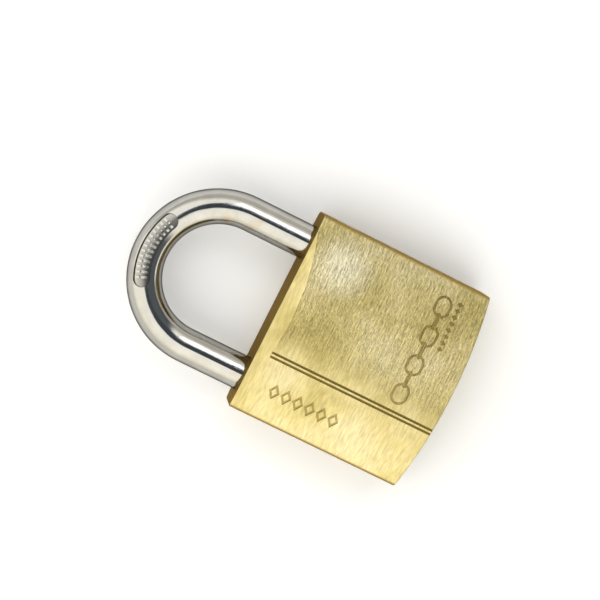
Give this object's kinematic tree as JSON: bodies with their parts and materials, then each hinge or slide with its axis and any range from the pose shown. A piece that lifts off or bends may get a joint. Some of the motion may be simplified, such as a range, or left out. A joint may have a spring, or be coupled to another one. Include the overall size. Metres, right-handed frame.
{
  "type": "padlock",
  "caption": "Crowned brass padlock body with a polished steel bow shackle, a keyed plug in its lower end and a two-bolt lock that holds both legs.",
  "frame": {"origin": "under the middle of the padlock lying on its back: centre of its length and width, at the lowest point of the crowned back", "axes": "+Z out of the front of the body, +Y along the legs towards the shackle's bow, +X to the right seen from the front with the shackle up"},
  "size_m": [0.04, 0.0656, 0.015],
  "materials": {
    "body_brass": "satin brushed",
    "plug_brass": "turned",
    "brass_pin": "turned",
    "shackle_chrome": "polished",
    "bolt_steel": "machined",
    "driver_steel": "turned",
    "spring_steel": "drawn wire"
  },
  "bodies": {
    "case": {"body": "body_brass", "plug_retaining_pin": "brass_pin", "shackle_retaining_pin": "brass_pin", "bolt_bore_plug": "brass_pin", "bolt_spring": "spring_steel", "chamber_plug_1": "brass_pin", "chamber_plug_2": "brass_pin", "chamber_plug_3": "brass_pin", "chamber_plug_4": "brass_pin", "chamber_plug_5": "brass_pin", "pin_spring_1": "spring_steel", "pin_spring_2": "spring_steel", "pin_spring_3": "spring_steel", "pin_spring_4": "spring_steel", "pin_spring_5": "spring_steel", "shackle_spring": "spring_steel"},
    "bow": {"shackle": "shackle_chrome"},
    "cylinder": {"plug": "plug_brass", "cam": "bolt_steel"},
    "left_bolt": {"locking_bolt_left": "bolt_steel"},
    "right_bolt": {"locking_bolt_right": "bolt_steel"},
    "key_pin_body_1": {"key_pin_1": "brass_pin"},
    "driver_pin_body_1": {"driver_pin_1": "driver_steel"},
    "key_pin_body_2": {"key_pin_2": "brass_pin"},
    "driver_pin_body_2": {"driver_pin_2": "driver_steel"},
    "key_pin_body_3": {"key_pin_3": "brass_pin"},
    "driver_pin_body_3": {"driver_pin_3": "driver_steel"},
    "key_pin_body_4": {"key_pin_4": "brass_pin"},
    "driver_pin_body_4": {"driver_pin_4": "driver_steel"},
    "key_pin_body_5": {"key_pin_5": "brass_pin"},
    "driver_pin_body_5": {"driver_pin_5": "driver_steel"}
  },
  "joints": [
    {"name": "plug_turn", "type": "hinge", "parent": "case", "child": "cylinder", "pos_m": [0, -0.01, 0.0075], "axis": [0, 1, 0], "range_deg": [-90, 0]},
    {"name": "left_bolt_slide", "type": "slide", "parent": "case", "child": "left_bolt", "axis": [-1, 0, 0], "range_m": [0, 0.00284], "deforming": ["bolt_spring"]},
    {"name": "right_bolt_slide", "type": "slide", "parent": "case", "child": "right_bolt", "axis": [1, 0, 0], "range_m": [0, 0.00284]},
    {"name": "shackle_lift", "type": "slide", "parent": "case", "child": "bow", "axis": [0, 1, 0], "range_m": [0, 0.0105], "deforming": ["shackle_spring"]},
    {"name": "key_pin_1_drop", "type": "slide", "parent": "cylinder", "child": "key_pin_body_1", "axis": [0, 0, 1], "range_m": [0, 0.00228]},
    {"name": "driver_pin_1_push", "type": "slide", "parent": "case", "child": "driver_pin_body_1", "axis": [1, 0, 0], "range_m": [0, 0.0015], "stiffness_N_per_m": 60, "springref_m": -0.003, "deforming": ["pin_spring_1"]},
    {"name": "key_pin_2_drop", "type": "slide", "parent": "cylinder", "child": "key_pin_body_2", "axis": [0, 0, 1], "range_m": [0, 0.00148]},
    {"name": "driver_pin_2_push", "type": "slide", "parent": "case", "child": "driver_pin_body_2", "axis": [1, 0, 0], "range_m": [0, 0.0015], "stiffness_N_per_m": 60, "springref_m": -0.003, "deforming": ["pin_spring_2"]},
    {"name": "key_pin_3_drop", "type": "slide", "parent": "cylinder", "child": "key_pin_body_3", "axis": [0, 0, 1], "range_m": [0, 0.00198]},
    {"name": "driver_pin_3_push", "type": "slide", "parent": "case", "child": "driver_pin_body_3", "axis": [1, 0, 0], "range_m": [0, 0.0015], "stiffness_N_per_m": 60, "springref_m": -0.003, "deforming": ["pin_spring_3"]},
    {"name": "key_pin_4_drop", "type": "slide", "parent": "cylinder", "child": "key_pin_body_4", "axis": [0, 0, 1], "range_m": [0, 0.00118]},
    {"name": "driver_pin_4_push", "type": "slide", "parent": "case", "child": "driver_pin_body_4", "axis": [1, 0, 0], "range_m": [0, 0.0015], "stiffness_N_per_m": 60, "springref_m": -0.003, "deforming": ["pin_spring_4"]},
    {"name": "key_pin_5_drop", "type": "slide", "parent": "cylinder", "child": "key_pin_body_5", "axis": [0, 0, 1], "range_m": [0, 0.00178]},
    {"name": "driver_pin_5_push", "type": "slide", "parent": "case", "child": "driver_pin_body_5", "axis": [1, 0, 0], "range_m": [0, 0.0015], "stiffness_N_per_m": 60, "springref_m": -0.003, "deforming": ["pin_spring_5"]}
  ],
  "couplings": [
    {"joint": "left_bolt_slide", "follows": "plug_turn", "m_per_rad": -0.0018006},
    {"joint": "right_bolt_slide", "follows": "plug_turn", "m_per_rad": -0.0018006}
  ]
}
